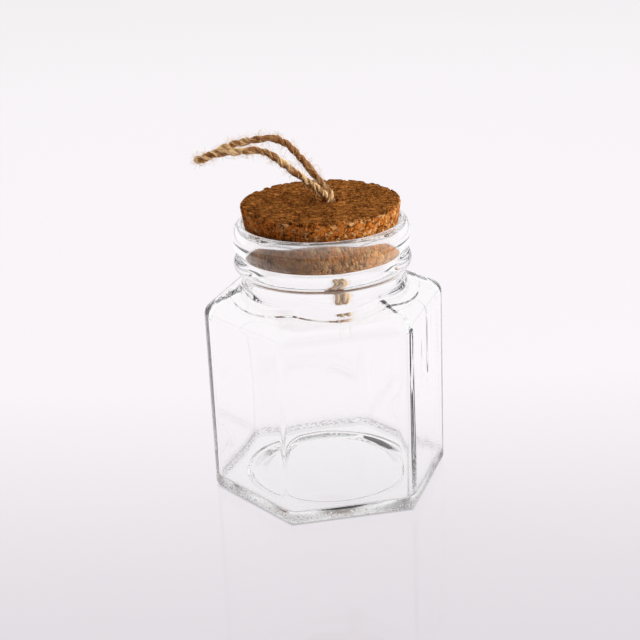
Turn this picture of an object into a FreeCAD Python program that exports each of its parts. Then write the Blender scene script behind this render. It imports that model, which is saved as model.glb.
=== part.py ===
"""Six-sided glass jar with a tapered cork stopper that carries a loop of twine.

Millimetres, +Z up. The origin is the middle of the base on the surface that the jar stands on.
A flat side of the jar faces -Y and two of its corners lie on the X axis.
"""
import FreeCAD
import Part
import Sketcher
import math
import os

V = FreeCAD.Vector

# Driving dimensions
SIZES = {
    # Glass body
    "across_flats": 54.4,
    "corner_radius": 4.5,
    "shoulder_height": 50.0,
    "shoulder_rise": 4.6,
    "shoulder_edge_radius": 3.2,
    "heel_radius": 1.8,
    # Glass neck with its bead and lip
    "neck_length": 3.0,
    "bead_height": 4.7,
    "bead_bulge": 1.8,
    "lip_height": 8.0,
    "lip_bulge": 1.95,
    "lip_crest_bevel": 0.3,
    # Inside of the glass
    "wall": 2.0,
    "base_thickness": 2.8,
    "ceiling_drop": 1.5,
    "shoulder_wall": 2.0,
    "inner_corner_radius": 3.0,
    "inner_heel_radius": 1.6,
    "inner_edge_bevel": 2.0,
    "neck_wall": 1.6,
    "mouth_flare": 0.9,
    "mouth_flare_height": 3.2,
    "root_cover": 0.5,
    # Push-up under the base
    "bearing_width": 5.6,
    "punt_bevel": 1.0,
    "punt_edge_depth": 0.6,
    "punt_depth": 1.2,
    # Cork stopper
    "cork_fit": 0.15,
    "cork_stand": 7.8,
    "cork_reach": 6.3,
    "cork_edge_bevel": 0.5,
    # Hole through the cork for the twine
    "hole_radius": 2.3,
    "hole_x": 2.6,
    "hole_y": 0.4,
    "hole_rim_chamfer": 0.7,
    # Twine and its knot
    "twine_diameter": 2.0,
    "knot_gap": 0.2,
    "knot_flat_radius": 2.2,
    "knot_bulge": 0.6,
    "knot_height": 4.4,
}
# Widening of the cork for each millimetre of its height
CORK_TAPER_SHARE = 0.163
# Radius of the neck as a share of half the width across the flats
NECK_SHARE = 0.757
# Part of the shorter run that each bend of the twine takes up
BEND_SHARE = 0.45
# Flat sides round each tube of twine
TUBE_SIDES = 10
# Corner radius at the top of the shoulder's slope, as a share of the walls' corner radius
SLOPE_TOP_CORNER_SHARE = 0.2
# Half the angle that the outline turns by at a corner of the hexagon
HALF_CORNER = math.radians(30)
# Tolerances of the tests below
LEVEL_ERROR = 1e-4
VOLUME_ERROR_SHARE = 0.02

# Route of the loop: up one side of the hole, out to the left, round the fold and back down the hole
LOOP_ROUTE = [
    (3.40, 1.10, 60.60),
    (3.40, 1.10, 64.10),
    (3.18, 1.30, 67.90),
    (3.32, 1.20, 71.70),
    (3.05, 1.34, 75.60),
    (0.75, 2.05, 78.75),
    (-1.65, 2.95, 82.15),
    (-4.30, 3.85, 85.80),
    (-7.00, 4.60, 88.80),
    (-10.40, 5.40, 90.55),
    (-14.30, 6.05, 90.05),
    (-18.20, 6.55, 89.50),
    (-21.80, 6.90, 88.65),
    (-25.30, 7.20, 87.10),
    (-27.70, 7.45, 86.10),
    (-29.50, 5.10, 86.30),
    (-28.20, 2.60, 87.10),
    (-25.40, 2.60, 88.00),
    (-21.90, 1.85, 88.50),
    (-18.20, 1.20, 88.75),
    (-14.40, 0.75, 88.80),
    (-10.90, 0.40, 86.70),
    (-7.70, 0.10, 83.95),
    (-4.30, -0.10, 81.05),
    (-1.20, -0.30, 78.30),
    (1.50, -0.42, 76.00),
    (1.98, -0.46, 72.10),
    (2.08, -0.54, 68.10),
    (1.80, -0.30, 64.20),
    (1.80, -0.30, 60.60),
]
# Routes of the two cut ends below the knot
TAIL_ROUTES = [
    [(1.90, 0.65, 56.20), (1.90, 0.65, 54.80), (3.30, 0.65, 52.30), (3.85, 0.60, 49.00),
     (3.80, 0.50, 43.60)],
    [(3.95, 0.20, 56.20), (3.95, 0.20, 54.80), (5.40, 0.10, 52.30), (6.00, -0.05, 49.00),
     (6.05, -0.10, 44.20)],
]


class Size:
    """A length together with the expression that ties it to the sheet."""

    def __init__(self, value, text):
        self.value = value
        self.text = text

    def __add__(self, other):
        return Size(self.value + other.value, f"({self.text} + {other.text})")

    def __sub__(self, other):
        return Size(self.value - other.value, f"({self.text} - {other.text})")

    def __mul__(self, factor):
        return Size(self.value * factor, f"({self.text} * {factor!r})")


ZERO = Size(0.0, "0")


def make_sheet(doc):
    """Write the driving dimensions to a sheet and return them by name."""
    sheet = doc.addObject("Spreadsheet::Sheet", "sizes")
    named = {}
    for row, (name, value) in enumerate(SIZES.items(), start=1):
        sheet.set(f"A{row}", name)
        sheet.set(f"B{row}", str(value))
        sheet.setAlias(f"B{row}", name)
        named[name] = Size(value, f"sizes.{name}")
    doc.recompute()
    return named


def arc_radius(height, bulge):
    """Radius of the arc that stands out by bulge over an upright chord of this height."""
    value = (height.value ** 2 / 4 + bulge.value ** 2) / (2 * bulge.value)
    text = f"(({height.text} ^ 2 / 4 + {bulge.text} ^ 2) / (2 * {bulge.text}))"
    return Size(value, text)


def new_sketch(body, name, role, height=ZERO):
    """Start a sketch on one of the body's own origin planes, raised by height."""
    plane = next(p for p in body.Origin.OriginFeatures if p.Role == role)
    sketch = body.newObject("Sketcher::SketchObject", name)
    sketch.AttachmentSupport = [(plane, "")]
    sketch.MapMode = "FlatFace"
    sketch.setExpression("AttachmentOffset.Base.z", height.text)
    return sketch


def bind(sketch, kind, places, size):
    """Add a dimension to the sketch and tie it to the sheet."""
    index = sketch.addConstraint(Sketcher.Constraint(kind, *places, size.value))
    sketch.setExpression(f"Constraints[{index}]", size.text)


def pin(sketch, edge, x, y):
    """Fix the start of an edge at x, y from the origin."""
    for kind, axis, size in (("DistanceX", -2, x), ("DistanceY", -1, y)):
        if size is ZERO:
            sketch.addConstraint(Sketcher.Constraint("PointOnObject", edge, 1, axis))
        else:
            bind(sketch, kind, (-1, 1, edge, 1), size)


def draw_outline(sketch, corners):
    """Draw a closed outline; a corner is x, y and, for an arc to the next corner, its radius.

    The arcs run anticlockwise, so they stand out on the right of an outline drawn anticlockwise.
    """
    count = len(corners)
    for index, corner in enumerate(corners):
        following = corners[(index + 1) % count]
        start = V(corner[0].value, corner[1].value, 0)
        end = V(following[0].value, following[1].value, 0)
        edge = Part.LineSegment(start, end)
        if len(corner) == 3:
            chord = end - start
            inward = V(-chord.y, chord.x, 0).normalize()
            depth = math.sqrt(corner[2].value ** 2 - chord.Length ** 2 / 4)
            middle = start + chord / 2 + inward * (depth - corner[2].value)
            edge = Part.Arc(start, middle, end)
        sketch.addGeometry(edge, False)
    for index, corner in enumerate(corners):
        sketch.addConstraint(Sketcher.Constraint("Coincident", index, 2, (index + 1) % count, 1))
        pin(sketch, index, corner[0], corner[1])
        if len(corner) == 3:
            bind(sketch, "Radius", (index,), corner[2])


def draw_hexagon(sketch, apothem, radius):
    """Draw a hexagon with rounded corners and a flat facing -Y, apothem from the origin to each side."""
    half_side = (apothem.value - radius.value) * math.tan(HALF_CORNER)
    reach = (apothem.value - radius.value) / math.cos(HALF_CORNER)
    for side in range(6):
        facing = math.radians(60 * side - 90)
        outward = V(math.cos(facing), math.sin(facing), 0)
        along = V(-outward.y, outward.x, 0)
        flat = outward * apothem.value
        sketch.addGeometry(Part.LineSegment(flat - along * half_side, flat + along * half_side), False)
        turn = facing + HALF_CORNER
        circle = Part.Circle(V(math.cos(turn), math.sin(turn), 0) * reach, V(0, 0, 1), radius.value)
        sketch.addGeometry(Part.ArcOfCircle(circle, facing, facing + 2 * HALF_CORNER), False)
    for side in range(6):
        line, arc, following = 2 * side, 2 * side + 1, (2 * side + 2) % 12
        sketch.addConstraint(Sketcher.Constraint("Tangent", line, 2, arc, 1))
        sketch.addConstraint(Sketcher.Constraint("Tangent", arc, 2, following, 1))
        bind(sketch, "Radius", (arc,), radius)
        bind(sketch, "Distance", (-1, 1, line), apothem)
        sketch.addConstraint(Sketcher.Constraint("Angle", line, math.radians(60 * side)))


def revolve(body, sketch, name, kind="PartDesign::Revolution"):
    """Turn a profile once round the upright axis."""
    turned = body.newObject(kind, name)
    turned.Profile = sketch
    turned.ReferenceAxis = (sketch, ["V_Axis"])
    turned.Angle = 360
    return turned


def round_edges(body, name, wanted, radius, kind="PartDesign::Fillet"):
    """Round or bevel the edges of the body's last feature that pass the test."""
    body.Document.recompute()
    base = body.Tip
    names = [f"Edge{n}" for n, edge in enumerate(base.Shape.Edges, start=1) if wanted(edge)]
    if not names:
        raise RuntimeError(f"{name}: no edge to work on")
    feature = body.newObject(kind, name)
    feature.Base = (base, names)
    feature.setExpression("Radius" if kind == "PartDesign::Fillet" else "Size", radius.text)
    return feature


def at_height(height):
    """Test for edges that lie level at this height."""
    def wanted(edge):
        box = edge.BoundBox
        return max(abs(box.ZMin - height.value), abs(box.ZMax - height.value)) < LEVEL_ERROR
    return wanted


def vessel(doc, name, outline):
    """Six-sided form with sloping shoulders that run up into a turned neck.

    outline holds the floor, the height of the shoulder's edge, the top of the slope, half the
    width across the flats, the corner radius, the slope's upper reach and the neck's profile.
    """
    floor, edge, top, apothem, corner, reach, neck = outline
    body = doc.addObject("PartDesign::Body", name)
    foot = new_sketch(body, name + "_foot", "XY_Plane", floor)
    draw_hexagon(foot, apothem, corner)
    walls = body.newObject("PartDesign::Pad", name + "_walls")
    walls.Profile = foot
    walls.setExpression("Length", (edge - floor).text)
    lower = new_sketch(body, name + "_slope_foot", "XY_Plane", edge)
    draw_hexagon(lower, apothem, corner)
    upper = new_sketch(body, name + "_slope_top", "XY_Plane", top)
    upper_apothem = reach * math.cos(HALF_CORNER)
    draw_hexagon(upper, upper_apothem, corner * SLOPE_TOP_CORNER_SHARE)
    slope = body.newObject("PartDesign::AdditiveLoft", name + "_slope")
    slope.Profile = lower
    slope.Sections = [upper]
    slope.Ruled = True
    profile = new_sketch(body, name + "_neck_profile", "XZ_Plane")
    draw_outline(profile, neck)
    revolve(body, profile, name + "_neck")
    return body


def make_jar(doc, d):
    """Glass jar: an outer form less an inner one, with a shallow push-up under the base."""
    half = d["across_flats"] * 0.5
    neck_radius = half * NECK_SHARE
    bore_radius = neck_radius - d["neck_wall"]
    punt_radius = half - d["bearing_width"]
    slope_top = d["shoulder_height"] + d["shoulder_rise"]
    bead_foot = slope_top + d["neck_length"]
    bead_top = bead_foot + d["bead_height"]
    lip_top = bead_top + d["lip_height"]
    outer_neck = [
        (ZERO, d["shoulder_height"]),
        (neck_radius, d["shoulder_height"]),
        (neck_radius, bead_foot, arc_radius(d["bead_height"], d["bead_bulge"])),
        (neck_radius, bead_top, arc_radius(d["lip_height"], d["lip_bulge"])),
        (neck_radius, lip_top),
        (ZERO, lip_top),
    ]
    outer = vessel(doc, "jar_outside", (
        ZERO, d["shoulder_height"], slope_top, half, d["corner_radius"],
        neck_radius - d["root_cover"], outer_neck))
    round_edges(outer, "shoulder_edge", at_height(d["shoulder_height"]), d["shoulder_edge_radius"])
    round_edges(outer, "heel", at_height(ZERO), d["heel_radius"])
    punt = new_sketch(outer, "punt_profile", "XZ_Plane")
    draw_outline(punt, [
        (ZERO, ZERO),
        (punt_radius, ZERO),
        (punt_radius - d["punt_bevel"], d["punt_edge_depth"]),
        (ZERO, d["punt_depth"]),
    ])
    revolve(outer, punt, "punt", "PartDesign::Groove")

    ceiling = d["shoulder_height"] - d["ceiling_drop"]
    ceiling_top = slope_top - d["shoulder_wall"]
    seat = lip_top - d["mouth_flare_height"]
    inner_neck = [
        (ZERO, ceiling),
        (bore_radius, ceiling),
        (bore_radius, seat),
        (bore_radius + d["mouth_flare"], lip_top),
        (ZERO, lip_top),
    ]
    inner = vessel(doc, "jar_inside", (
        d["base_thickness"], ceiling, ceiling_top, half - d["wall"], d["inner_corner_radius"],
        bore_radius - d["root_cover"], inner_neck))
    round_edges(inner, "ceiling_edge", at_height(ceiling), d["inner_edge_bevel"], "PartDesign::Chamfer")
    round_edges(inner, "floor_edge", at_height(d["base_thickness"]), d["inner_heel_radius"])
    doc.recompute()

    hollow = doc.addObject("Part::Cut", "hollow_jar")
    hollow.Base = outer
    hollow.Tool = inner
    doc.recompute()
    crest = [n for n, edge in enumerate(hollow.Shape.Edges, start=1) if at_height(lip_top)(edge)]
    jar = doc.addObject("Part::Chamfer", "glass_jar")
    jar.Base = hollow
    jar.Edges = [(n, d["lip_crest_bevel"].value, d["lip_crest_bevel"].value) for n in crest]
    return jar, seat, bore_radius


def make_cork(doc, d, seat, bore_radius):
    """Tapered stopper that seats on the foot of the mouth's flare, with a hole for the twine."""
    foot = seat - d["cork_reach"]
    top = seat + d["cork_stand"]
    seat_radius = bore_radius - d["cork_fit"]
    body = doc.addObject("PartDesign::Body", "cork_stopper")
    profile = new_sketch(body, "cork_profile", "XZ_Plane")
    draw_outline(profile, [
        (ZERO, foot),
        (seat_radius - d["cork_reach"] * CORK_TAPER_SHARE, foot),
        (seat_radius + d["cork_stand"] * CORK_TAPER_SHARE, top),
        (ZERO, top),
    ])
    revolve(body, profile, "cork_cone")
    round_edges(
        body, "cork_edges", lambda e: at_height(foot)(e) or at_height(top)(e),
        d["cork_edge_bevel"], "PartDesign::Chamfer")
    doc.recompute()
    uncut = body.Shape.Volume
    ring = new_sketch(body, "hole_ring", "XY_Plane", foot)
    middle = V(d["hole_x"].value, d["hole_y"].value, 0)
    ring.addGeometry(Part.Circle(middle, V(0, 0, 1), d["hole_radius"].value))
    bind(ring, "DistanceX", (-1, 1, 0, 3), d["hole_x"])
    bind(ring, "DistanceY", (-1, 1, 0, 3), d["hole_y"])
    bind(ring, "Radius", (0,), d["hole_radius"])
    hole = body.newObject("PartDesign::Pocket", "twine_hole")
    hole.Profile = ring
    hole.Reversed = True
    hole.setExpression("Length", (top - foot).text)
    doc.recompute()
    bored = math.pi * d["hole_radius"].value ** 2 * (top - foot).value
    if abs(uncut - body.Shape.Volume - bored) > VOLUME_ERROR_SHARE * bored:
        raise RuntimeError("The twine hole does not go through the cork")
    rim_width = 2 * d["hole_radius"].value + LEVEL_ERROR
    round_edges(
        body, "hole_rims",
        lambda e: (at_height(foot)(e) or at_height(top)(e)) and e.BoundBox.XLength < rim_width,
        d["hole_rim_chamfer"], "PartDesign::Chamfer")
    return body, foot


def make_knot(doc, d, cork_foot):
    """Knot under the cork: two turns of twine drawn tight, flat where the strands go in and out."""
    top = cork_foot - d["knot_gap"]
    waist = top - d["knot_height"] * 0.5
    foot = top - d["knot_height"]
    fullest = d["knot_flat_radius"] + d["knot_bulge"]
    body = doc.addObject("PartDesign::Body", "twine_knot")
    profile = new_sketch(body, "knot_profile", "XZ_Plane")
    draw_outline(profile, [
        (ZERO, foot),
        (d["knot_flat_radius"], foot),
        (fullest, foot + d["knot_height"] * 0.25),
        (d["knot_flat_radius"], waist),
        (fullest, top - d["knot_height"] * 0.25),
        (d["knot_flat_radius"], top),
        (ZERO, top),
    ])
    revolve(body, profile, "knot_turns")
    body.setExpression("Placement.Base.x", d["hole_x"].text)
    body.setExpression("Placement.Base.y", d["hole_y"].text)
    return body


def tube(route, diameter):
    """Solid tube of many flat sides along straight runs joined by tangent arcs."""
    points = [V(*point) for point in route]
    edges = []
    radii = []
    last = points[0]
    for before, corner, after in zip(points, points[1:], points[2:]):
        back = before - corner
        ahead = after - corner
        trim = BEND_SHARE * min(back.Length, ahead.Length)
        half_turn = (math.pi - back.getAngle(ahead)) / 2
        radius = trim / math.tan(half_turn)
        start = corner + V(back).normalize() * trim
        end = corner + V(ahead).normalize() * trim
        inward = (start - corner + end - corner).normalize()
        middle = corner + inward * (radius / math.cos(half_turn) - radius)
        edges.append(Part.LineSegment(last, start).toShape())
        edges.append(Part.Arc(start, middle, end).toShape())
        radii.append(radius)
        last = end
    edges.append(Part.LineSegment(last, points[-1]).toShape())
    path = Part.Wire(edges)
    across = FreeCAD.Rotation(V(0, 0, 1), points[1] - points[0])
    turns = [2 * math.pi * side / TUBE_SIDES for side in range(TUBE_SIDES + 1)]
    ring = [V(math.cos(turn), math.sin(turn), 0) * (diameter / 2) for turn in turns]
    section = Part.makePolygon([points[0] + across.multVec(point) for point in ring])
    solid = path.makePipeShell([section], True, False)
    expected = Part.Face(section).Area * path.Length
    print(f"tube of {path.Length:.1f} mm, volume {solid.Volume:.1f} of {expected:.1f} mm3")
    print("bend radii", ", ".join(f"{radius:.1f}" for radius in radii))
    if abs(solid.Volume - expected) > VOLUME_ERROR_SHARE * expected:
        raise RuntimeError("The twine's tube has the wrong volume")
    return solid


def make_strands(doc, name, routes, d):
    """Lengths of twine, each a tube along its route."""
    strands = doc.addObject("Part::Feature", name)
    solids = [tube(route, d["twine_diameter"].value) for route in routes]
    strands.Shape = solids[0] if len(solids) == 1 else Part.makeCompound(solids)
    strands.Placement = FreeCAD.Placement()
    return strands


def main():
    """Build the document, check it and write one file for each piece."""
    doc = FreeCAD.newDocument("corked_jar")
    d = make_sheet(doc)
    jar, seat, bore_radius = make_jar(doc, d)
    cork, cork_foot = make_cork(doc, d, seat, bore_radius)
    pieces = [
        jar,
        cork,
        make_strands(doc, "twine_loop", [LOOP_ROUTE], d),
        make_knot(doc, d, cork_foot),
        make_strands(doc, "twine_tails", TAIL_ROUTES, d),
    ]
    doc.recompute()
    failed = [item.Name for item in doc.Objects if "Invalid" in item.State or "Error" in item.State]
    failed += [item.Name for item in pieces if item.Shape.isNull() or not item.Shape.isValid()]
    if failed:
        raise RuntimeError("These did not build: " + ", ".join(failed))
    os.makedirs("parts", exist_ok=True)
    for item in pieces:
        item.Shape.exportStep(f"parts/{item.Label}.step")
        box = item.Shape.optimalBoundingBox()
        print(f"{item.Label}: {len(item.Shape.Solids)} solids, {item.Shape.Volume / 1000:.3f} cm3, "
              f"x {box.XMin:.2f} to {box.XMax:.2f}, y {box.YMin:.2f} to {box.YMax:.2f}, "
              f"z {box.ZMin:.2f} to {box.ZMax:.2f}")


main()
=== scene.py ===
"""Looks for a six-sided glass jar with a cork stopper and a loop of jute twine.

Run as a script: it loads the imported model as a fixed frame, dresses it and sets the stage.
Lengths are in metres, in the frame's own axes.
"""
import math

import bpy
import numpy as np
from mathutils import Matrix, Vector


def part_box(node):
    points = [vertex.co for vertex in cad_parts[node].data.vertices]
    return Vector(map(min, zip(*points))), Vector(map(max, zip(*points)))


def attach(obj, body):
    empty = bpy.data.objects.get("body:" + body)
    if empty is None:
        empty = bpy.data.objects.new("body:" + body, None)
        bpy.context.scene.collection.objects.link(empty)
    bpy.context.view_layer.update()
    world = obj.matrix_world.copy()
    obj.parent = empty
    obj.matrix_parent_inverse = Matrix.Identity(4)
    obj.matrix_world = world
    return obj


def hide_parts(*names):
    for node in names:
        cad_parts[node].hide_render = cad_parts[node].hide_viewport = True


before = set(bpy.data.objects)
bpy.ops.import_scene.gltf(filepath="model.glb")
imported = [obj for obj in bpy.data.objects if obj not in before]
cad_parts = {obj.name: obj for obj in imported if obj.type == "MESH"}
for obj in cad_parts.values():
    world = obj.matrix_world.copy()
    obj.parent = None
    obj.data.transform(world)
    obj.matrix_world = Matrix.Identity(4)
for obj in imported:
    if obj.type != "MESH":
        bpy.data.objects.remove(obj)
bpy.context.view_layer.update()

bl_info = {
    "name": "Corked jar looks",
    "version": (1, 0, 0),
    "blender": (4, 5, 0),
    "location": "View3D > Sidebar > Corked jar",
    "description": "Clear glass, pressed cork and jute twine for the packed jar, on a pale stage",
    "category": "Object",
}

GLASS_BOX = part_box("glass_jar")
CORK_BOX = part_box("cork_stopper")


def in_metres(route):
    """Control points that are given in hundredths of a millimetre."""
    return [tuple(part / 100000 for part in point) for point in route]


# Route of the twine: up one side of the hole, out to the left, round the fold and back
LOOP_ROUTE = in_metres([
    (340, 110, 6060), (340, 110, 6410), (318, 130, 6790), (332, 120, 7170), (305, 134, 7560),
    (75, 205, 7875), (-165, 295, 8215), (-430, 385, 8580), (-700, 460, 8880), (-1040, 540, 9055),
    (-1430, 605, 9005), (-1820, 655, 8950), (-2180, 690, 8865), (-2530, 720, 8710), (-2770, 745, 8610),
    (-2950, 510, 8630), (-2820, 260, 8710), (-2540, 260, 8800), (-2190, 185, 8850), (-1820, 120, 8875),
    (-1440, 75, 8880), (-1090, 40, 8670), (-770, 10, 8395), (-430, -10, 8105), (-120, -30, 7830),
    (150, -42, 7600), (198, -46, 7210), (208, -54, 6810), (180, -30, 6420), (180, -30, 6060),
])
# The two ends carry on through the knot, cross in it and hang below
TAIL_ROUTES = [in_metres(route) for route in (
    [(340, 110, 6050), (300, 100, 5940), (220, 80, 5760), (190, 65, 5620),
     (190, 65, 5480), (330, 65, 5230), (400, 60, 4900), (400, 50, 4300)],
    [(180, -30, 6050), (220, -20, 5940), (320, 0, 5760), (395, 20, 5620),
     (395, 20, 5480), (540, 10, 5230), (585, -5, 4900), (585, -10, 4330)],
)]
# Where the twine's hole stands in the cork
HOLE_CENTRE = (0.0026, 0.0004)
# Heights under and over which the twine is out of the cork, bare for loose fibres
BARE_BELOW = 0.0588
BARE_ABOVE = CORK_BOX[1].z + 0.0006
# Centimetres along the twine between which the stain near the cork begins, and ends
STAIN_BEGINS = (1.3, 2.2)
STAIN_ENDS = (3.2, 4.6)
CENTIMETRES_IN_METRE = 100
# How the twist wanders and the plies swell: waves as height, rate along the twine and shift by ply
TWIST_WAVES = ((0.9, 410, 0.6), (0.5, 930, 0.9))
THICKNESS_WAVES = ((0.12, 560, 1.9), (0.08, 1370, 4.0))
# Loose fibres on a square metre of the loop and of the cut ends, and the seed that places them
LOOP_FUZZ = 2.2e6
END_FUZZ = 3.0e6
FUZZ_SEED = 4

# Heights between which the heel's dots and frost end, and how far in from the sides both fade out
HEEL_DOTS = (0.0016, 0.0030)
HEEL_FROST = (0.0018, 0.0055)
HEEL_DEPTH = (0.0030, 0.0020)
# Heights between which the cork goes from its sunk part, seen through the glass and painted paler with fewer
# dark flecks and joints as a painted reflection, to its open part
CORK_SUNK_PAINTED_VEIL = (0.0660, 0.0735)

# Where the camera stands
CAMERA_AIM = (-0.001324, 0.000238, 0.043099)
CAMERA_DISTANCE = 0.36183
CAMERA_AZIMUTH = math.radians(-10.172)
CAMERA_ELEVATION = math.radians(20.805)
CAMERA_ROLL = math.radians(-2.490)
WHITE = (1.0, 1.0, 1.0)
# Dark parts of the studio, which only rays that have passed glass meet: their directions, and the cosines
# of the angles from these to their edges and cores
DARK_AIMS = (
    ((-0.18, -0.98, 0.12), 0.45, 0.65),
    ((-0.98, -0.17, 0.0), 0.94, 0.995),
)
# Tone of these parts, and of the dark beyond the floor's end
STUDIO_DARK = (0.12, 0.12, 0.12)
# How far the bright floor goes to the front, right and left, as the glass shows it
FLOOR_FRONT = 0.30
FLOOR_RIGHT = 0.60
FLOOR_LEFT = 0.40
# Share of that way at which it starts to go dark
FLOOR_FADE = 0.8
# Places from front to back between which the floor turns from painted shade in front to white, and a last
# faint grey of painted shade with its share ends
FLOOR_TURN = (-0.13, 0.12)
FLOOR_LAST = (0.10, 0.60, 0.14)
# Places from front to back between which the floor under the glass, painted grey as shade, and the shade at
# its foot, end
UNDER_ENDS = (-0.02, 0.06)
CONTACT_ENDS = (-0.012, 0.004)
CONTACT_TONE = (0.02, 0.02, 0.02)
# Soft square lamps as name, place, size and power, and the point that they face
LAMPS = (
    ("key", (0.62, -0.36, 0.36), 0.40, 8.0),
    ("top", (-0.15, 0.35, 0.75), 0.50, 5.6),
)
LAMP_AIM = (0.0, 0.0, 0.05)

Socket = bpy.types.NodeSocket
# Sockets that every Geometry Nodes tree here has
GEOMETRY = {"Geometry": "Geometry"}


def length(name, description, default):
    """A size in metres for a property group."""
    return bpy.props.FloatProperty(
        name=name, description=description, default=default, min=0.0, precision=5, unit="LENGTH")


def colour(name, description, default):
    """A colour for a property group, as a plain red, green and blue."""
    return bpy.props.FloatVectorProperty(
        name=name, description=description, default=default, size=3, min=0.0, max=1.0, subtype="COLOR")


def share(name, description, default):
    """A number from 0 to 1 for a property group."""
    return bpy.props.FloatProperty(
        name=name, description=description, default=default, min=0.0, max=1.0, subtype="FACTOR")


class JarGlassSizes(bpy.types.PropertyGroup):
    """Sizes and tint of the glass."""
    across_flats: length("Across flats", "Width over two opposite sides", GLASS_BOX[1].y - GLASS_BOX[0].y)
    corner: length("Corner radius", "Rounding of the six upright corners", 0.0045)
    heel: length("Heel radius", "Rounding round the foot", 0.0018)
    shoulder: length("Shoulder height", "Height at which the sides turn in", 0.050)
    rise: length("Shoulder rise", "Height of the slope above the sides", 0.0046)
    shoulder_edge: length("Shoulder edge", "Rounding between sides and slope", 0.0032)
    slope_reach: length("Slope reach", "Half width of the slope's top, under the neck", 0.0174)
    slope_corner: length("Slope corner", "Rounding of the creases where they meet the neck", 0.0006)
    neck: length("Neck radius", "Radius of the neck between bead and lip", 0.0206)
    neck_root: length("Neck root", "Rounding where the neck leaves the slope", 0.0030)
    collar: length("Collar", "Radius of the raised collar round the neck's root", 0.0240)
    collar_rise: length("Collar rise", "How far the collar stands over the slope", 0.0003)
    bead_foot: length("Bead foot", "Height at which the bead starts", 0.0576)
    bead_top: length("Bead top", "Height of the groove between bead and lip", 0.0623)
    bead_bulge: length("Bead bulge", "How far the bead stands out", 0.0018)
    lip_bulge: length("Lip bulge", "How far the lip stands out", 0.00195)
    bore: length("Bore radius", "Radius inside the neck", 0.0190)
    flare: length("Mouth flare", "How much the mouth opens at the top", 0.0009)
    flare_foot: length("Flare foot", "Height at which the mouth starts to open", 0.0671)
    wall: length("Wall", "Thickness of the sides", 0.0020)
    floor: length("Floor", "Height of the inside floor", 0.0028)
    ceiling: length("Ceiling", "Height at which the inside turns in", 0.0485)
    inner_corner: length("Inner corner", "Rounding of the inside corners", 0.0030)
    inner_heel: length("Inner heel", "Rounding round the inside floor", 0.0008)
    punt: length("Push-up radius", "Radius of the hollow under the base", 0.0216)
    punt_depth: length("Push-up depth", "Depth of the hollow under the base", 0.0012)
    ripple: length("Ripple", "Unevenness of the inside wall", 0.00007)
    sway: length("Sway", "Height of the faint unevenness of the whole skin", 0.00005)
    stipple: length("Stipple", "Height of the dots round the heel", 0.00030)
    frost: share("Frost", "Dullness of the glass round the heel", 0.40)
    tint: colour("Tint", "Colour of the glass", (0.985, 0.99, 0.988))


class JarCorkSizes(bpy.types.PropertyGroup):
    """Sizes and colours of the cork."""
    taper: share("Taper", "How much the radius shrinks with the way down", 0.163)
    edge: length("Edge", "Bevel of the outer edges", 0.0005)
    hole: length("Hole radius", "Radius of the hole for the twine", 0.0023)
    hole_rim: length("Hole rim", "Bevel of the hole's two rims", 0.0007)
    granule: length("Granule", "Size of the pressed granules", 0.0010)
    pit_depth: length("Pit depth", "Depth of pits and open joints", 0.00032)
    side: colour("Side", "Warm colour of the granules", (0.52, 0.165, 0.028))
    # Pale granule also paints the sunk part paler, a painted reflection of the glass
    pale: colour("Pale granule", "Palest granules", (0.62, 0.350, 0.140))
    dark: colour("Dark granule", "Bark in the pits and joints", (0.040, 0.009, 0.002))
    top: colour("Top", "Colour of the sanded top", (0.310, 0.118, 0.027))


class JarTwineSizes(bpy.types.PropertyGroup):
    """Sizes and colours of the twine."""
    diameter: length("Diameter", "Thickness of the twine", 0.0020)
    pitch: length("Pitch", "Length of one full twist", 0.0064)
    cut_pitch: length("Cut pitch", "Length of one full twist where the cut ends come undone", 0.0300)
    fray: length("Fray", "Length over which a cut end comes undone", 0.0120)
    hair: length("Hair", "Length of the loose fibres", 0.0016)
    hair_radius: length("Hair radius", "Radius of the loose fibres", 0.000022)
    pale: colour("Pale fibre", "Lightest fibres", (0.90, 0.66, 0.36))
    # Deep fibre also gives the painted shade in the grooves between the plies
    deep: colour("Deep fibre", "Fibres between the plies", (0.20, 0.062, 0.011))
    stain: colour("Stain", "Brown stain near the cork and in patches", (0.20, 0.061, 0.010))
    # Painted light: the cut ends, which hang in the glass, are painted paler than the loop, and their deep
    # colour also gives the painted shade between their plies
    cut_pale_painted_light: colour("Pale cut fibre", "Lightest fibres of the cut ends", (0.95, 0.77, 0.55))
    cut_deep_painted_light: colour("Deep cut fibre", "Deepest fibres of the cut ends", (0.66, 0.41, 0.22))


class JarStageSizes(bpy.types.PropertyGroup):
    """Floor, light and camera."""
    floor_far: colour("Far floor", "Floor behind the jar", (1.0, 0.957, 0.99))
    # Painted shade: the floor in front is painted greyer, standing for less light there
    floor_near_painted_shade: colour("Near floor", "Floor in front of the jar", (0.715, 0.682, 0.722))
    floor_bent: colour("Floor in glass", "Floor as the glass shows it", (0.985, 0.942, 0.972))
    # Painted shade: the floor below and in front, as the glass shows it, is painted grey
    floor_under_painted_shade: colour("Floor under glass", "Floor below and in front, in the glass", (0.84, 0.80, 0.83))
    fill: colour("Fill light", "Dim warm light from all round", (0.150, 0.088, 0.055))
    own_light: share("Own light", "Part of the floor's tone that shade doesn't reach", 0.95)
    contact: length("Contact", "Half width of the shade where the jar meets the floor", 0.0012)
    contact_shade: share("Contact shade", "Strength of the shade where the jar meets the floor", 0.45)
    lens: bpy.props.FloatProperty(
        name="Lens", description="Focal length on a 36 mm frame", default=79.53, min=1.0, unit="CAMERA")


def plug(node, inputs):
    """Put a link or a plain value on each of these inputs of a node, given by name or number."""
    for key, value in inputs.items():
        if isinstance(value, Socket):
            node.id_data.links.new(value, node.inputs[key])
        else:
            node.inputs[key].default_value = value


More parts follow.
